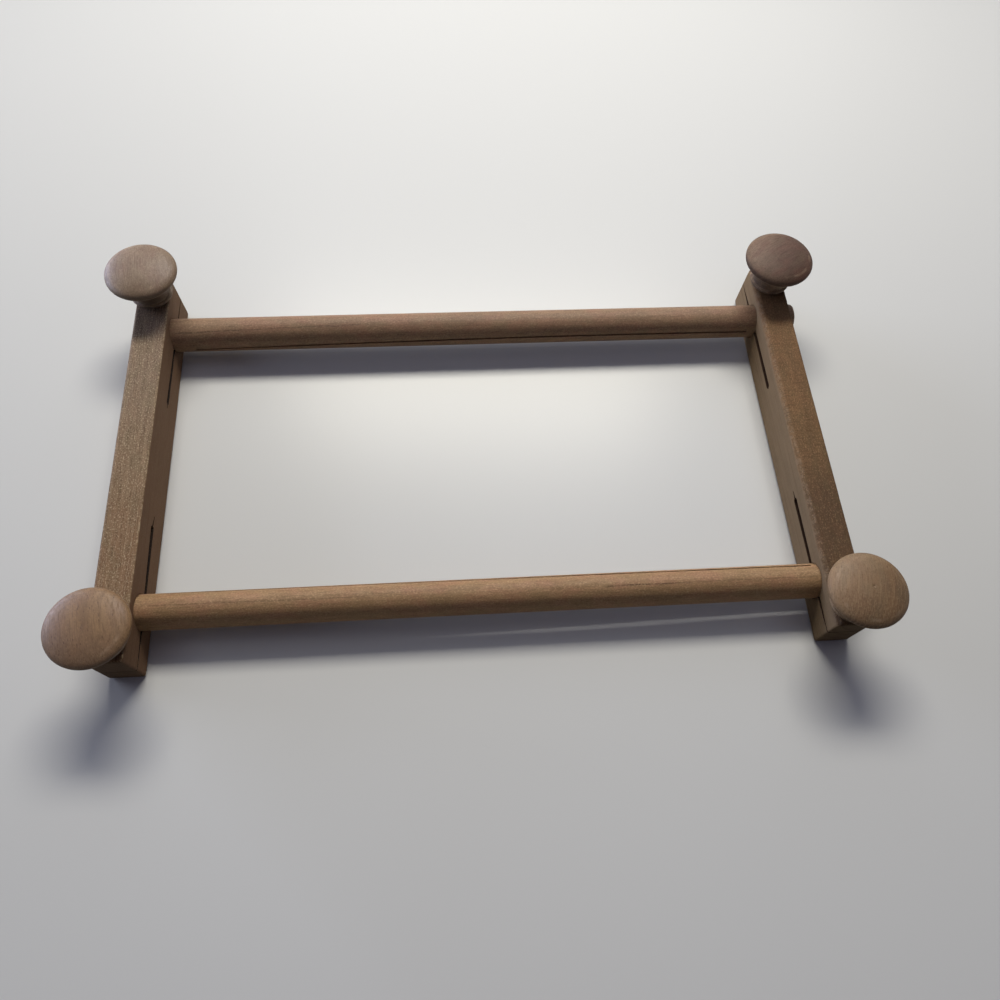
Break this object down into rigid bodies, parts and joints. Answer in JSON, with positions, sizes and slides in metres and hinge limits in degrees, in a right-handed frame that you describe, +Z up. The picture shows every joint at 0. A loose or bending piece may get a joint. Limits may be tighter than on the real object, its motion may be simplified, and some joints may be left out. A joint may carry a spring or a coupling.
{
  "type": "scroll frame",
  "caption": "Split-rail needlework scroll frame: slit dowels turn in split side bars and are clamped by turned wooden knobs.",
  "frame": {"origin": "middle of the frame, at the undersides of the side bars that it rests on", "axes": "+X along the rods to the right, +Y along the side bars away from the viewer, +Z up to the knobs"},
  "size_m": [0.3982, 0.2438, 0.0495],
  "materials": {
    "bar_wood": "bare sanded hardwood, satin",
    "rod_wood": "bare sanded dowel, satin",
    "knob_wood": "turned hardwood, polished by hand",
    "zinc_steel": "bright zinc plate",
    "brass": "turned brass"
  },
  "bodies": {
    "left_frame": {"left_side_bar": "bar_wood", "front_left_bolt": "zinc_steel", "front_left_washer": "zinc_steel", "back_left_bolt": "zinc_steel", "back_left_washer": "zinc_steel"},
    "right_frame": {"right_side_bar": "bar_wood", "front_right_bolt": "zinc_steel", "front_right_washer": "zinc_steel", "back_right_bolt": "zinc_steel", "back_right_washer": "zinc_steel"},
    "front_rod": {"front_rod": "rod_wood"},
    "back_rod": {"back_rod": "rod_wood"},
    "front_left_insert": {"front_left_insert": "brass"},
    "front_left_knob": {"front_left_knob": "knob_wood"},
    "front_right_insert": {"front_right_insert": "brass"},
    "front_right_knob": {"front_right_knob": "knob_wood"},
    "back_left_insert": {"back_left_insert": "brass"},
    "back_left_knob": {"back_left_knob": "knob_wood"},
    "back_right_insert": {"back_right_insert": "brass"},
    "back_right_knob": {"back_right_knob": "knob_wood"}
  },
  "joints": [
    {"name": "right_bar_slide", "type": "slide", "parent": "left_frame", "child": "right_frame", "axis": [1, 0, 0], "range_m": [-0.32, 0.02]},
    {"name": "front_rod_turn", "type": "hinge", "parent": "left_frame", "child": "front_rod", "pos_m": [0, -0.0852, 0.01375], "axis": [1, 0, 0], "continuous": true},
    {"name": "back_rod_turn", "type": "hinge", "parent": "left_frame", "child": "back_rod", "pos_m": [0, 0.0852, 0.01375], "axis": [1, 0, 0], "continuous": true},
    {"name": "front_left_lift", "type": "slide", "parent": "left_frame", "child": "front_left_insert", "axis": [0, 0, 1], "range_m": [0, 0.0115]},
    {"name": "front_left_knob_turn", "type": "hinge", "parent": "front_left_insert", "child": "front_left_knob", "pos_m": [-0.1798, -0.1026, 0.0287], "axis": [0, 0, 1], "range_deg": [0, 3240]},
    {"name": "front_right_lift", "type": "slide", "parent": "right_frame", "child": "front_right_insert", "axis": [0, 0, 1], "range_m": [0, 0.0115]},
    {"name": "front_right_knob_turn", "type": "hinge", "parent": "front_right_insert", "child": "front_right_knob", "pos_m": [0.1798, -0.1026, 0.0287], "axis": [0, 0, 1], "range_deg": [0, 3240]},
    {"name": "back_left_lift", "type": "slide", "parent": "left_frame", "child": "back_left_insert", "axis": [0, 0, 1], "range_m": [0, 0.0115]},
    {"name": "back_left_knob_turn", "type": "hinge", "parent": "back_left_insert", "child": "back_left_knob", "pos_m": [-0.1798, 0.1026, 0.0287], "axis": [0, 0, 1], "range_deg": [0, 3240]},
    {"name": "back_right_lift", "type": "slide", "parent": "right_frame", "child": "back_right_insert", "axis": [0, 0, 1], "range_m": [0, 0.0115]},
    {"name": "back_right_knob_turn", "type": "hinge", "parent": "back_right_insert", "child": "back_right_knob", "pos_m": [0.1798, 0.1026, 0.0287], "axis": [0, 0, 1], "range_deg": [0, 3240]}
  ],
  "couplings": [
    {"joint": "front_left_lift", "follows": "front_left_knob_turn", "m_per_rad": 0.00020213},
    {"joint": "front_right_lift", "follows": "front_right_knob_turn", "m_per_rad": 0.00020213},
    {"joint": "back_left_lift", "follows": "back_left_knob_turn", "m_per_rad": 0.00020213},
    {"joint": "back_right_lift", "follows": "back_right_knob_turn", "m_per_rad": 0.00020213}
  ]
}
